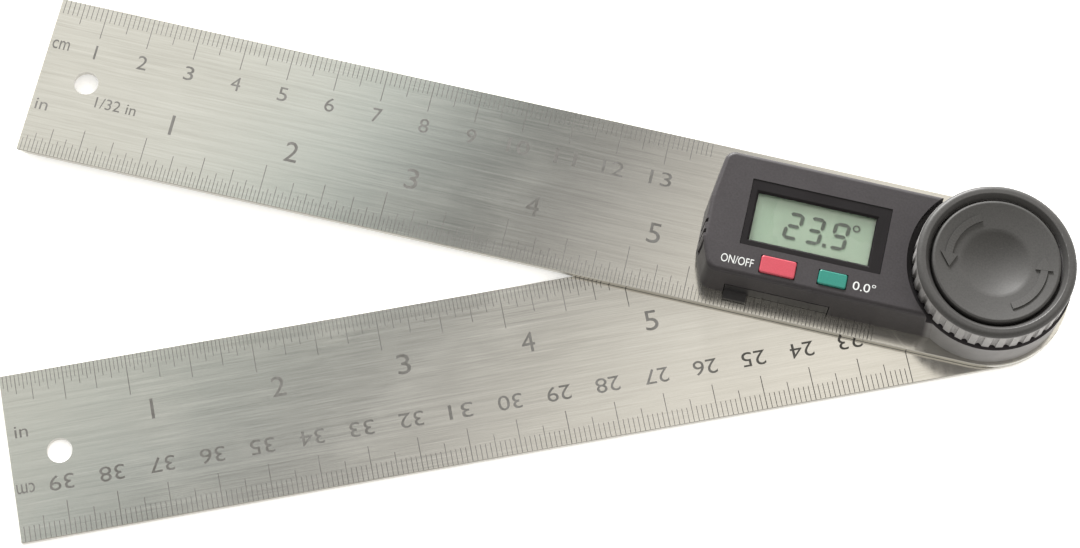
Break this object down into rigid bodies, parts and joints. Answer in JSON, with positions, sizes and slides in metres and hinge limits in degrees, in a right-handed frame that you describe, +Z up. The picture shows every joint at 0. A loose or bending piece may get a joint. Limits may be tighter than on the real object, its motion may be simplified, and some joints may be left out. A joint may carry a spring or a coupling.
{
  "type": "bevel protractor",
  "caption": "Digital angle-finder rule: flat steel rules hinged at one end under a display housing, locked by a knurled thumb knob.",
  "frame": {"origin": "on the pivot axis, in the plane of the lower rule's underside", "axes": "+X along the upper rule from its free end to the hub, +Y the upright direction of the display, +Z up out of the display"},
  "size_m": [0.2164, 0.1138, 0.017],
  "materials": {
    "blade_steel": "brushed stainless steel, satin",
    "turned_steel": "fine turned steel",
    "spring_steel": "dark spring steel",
    "bush_bronze": "machined bronze",
    "insert_brass": "machined brass",
    "washer_polymer": "low-friction polymer film",
    "housing_plastic": "fine-textured moulded charcoal",
    "knob_plastic": "satin moulded charcoal",
    "cap_plastic": "satin moulded charcoal, embossed",
    "bezel_plastic": "near-black moulded frame",
    "lens_clear": "clear window",
    "lcd_glass": "pale green reflective display",
    "carrier_plastic": "natural moulded carrier",
    "strip_rubber": "layered contact rubber",
    "board_green": "solder-masked circuit board",
    "rotor_board": "solder-masked encoder rotor with copper pads",
    "chip_black": "moulded epoxy",
    "chip_tan": "ceramic",
    "nickel_can": "nickel-plated can",
    "contact_gold": "gold-flashed spring strip",
    "screw_steel": "plated steel",
    "red_plastic": "red moulded key",
    "green_plastic": "blue-green moulded key",
    "tray_plastic": "black moulded tray",
    "cell_steel": "plated steel can"
  },
  "bodies": {
    "base_arm": {"base_blade": "blade_steel", "pivot_stud": "turned_steel", "friction_washer": "washer_polymer", "spring_washer": "spring_steel", "retaining_ring": "spring_steel", "rotor_carrier": "insert_brass", "rotor_disc": "rotor_board", "rotor_clip": "spring_steel"},
    "main_arm": {"main_blade": "blade_steel", "blade_bush": "bush_bronze", "housing_cover": "housing_plastic", "cover_screws": "screw_steel", "window_bezel": "bezel_plastic", "window_lens": "lens_clear", "lcd_panel": "lcd_glass", "lcd_carrier": "carrier_plastic", "contact_strip": "strip_rubber", "circuit_board": "board_green", "board_screws": "screw_steel", "controller_chip": "chip_black", "crystal_can": "nickel_can", "chip_capacitors": "chip_tan", "tact_switches": "nickel_can", "battery_contact_negative": "contact_gold", "battery_contact_positive": "contact_gold"},
    "battery_drawer": {"battery_tray": "tray_plastic", "coin_cell": "cell_steel"},
    "red_key": {"red_button": "red_plastic"},
    "green_key": {"green_button": "green_plastic"},
    "clamp_washer": {"thrust_washer": "turned_steel"},
    "knob": {"lock_knob": "knob_plastic", "knob_insert": "insert_brass", "knob_cap": "cap_plastic"}
  },
  "joints": [
    {"name": "blade_pivot", "type": "hinge", "parent": "base_arm", "child": "main_arm", "pos_m": [0, 0, 0.002], "axis": [0, 0, 1], "continuous": true},
    {"name": "knob_lift", "type": "slide", "parent": "base_arm", "child": "clamp_washer", "axis": [0, 0, 1], "range_m": [0, 0.00075]},
    {"name": "knob_turn", "type": "hinge", "parent": "clamp_washer", "child": "knob", "pos_m": [0, 0, 0.0137], "axis": [0, 0, 1], "range_deg": [0, 270]},
    {"name": "tray_slide", "type": "slide", "parent": "main_arm", "child": "battery_drawer", "axis": [0, -1, 0], "range_m": [0, 0.022]},
    {"name": "red_press", "type": "slide", "parent": "main_arm", "child": "red_key", "axis": [0, 0, -1], "range_m": [0, 0.00035], "stiffness_N_per_m": 800, "springref_m": -0.0003},
    {"name": "green_press", "type": "slide", "parent": "main_arm", "child": "green_key", "axis": [0, 0, -1], "range_m": [0, 0.00035], "stiffness_N_per_m": 800, "springref_m": -0.0003}
  ],
  "couplings": [
    {"joint": "knob_turn", "follows": "knob_lift", "rad_per_m": 6283.2}
  ]
}
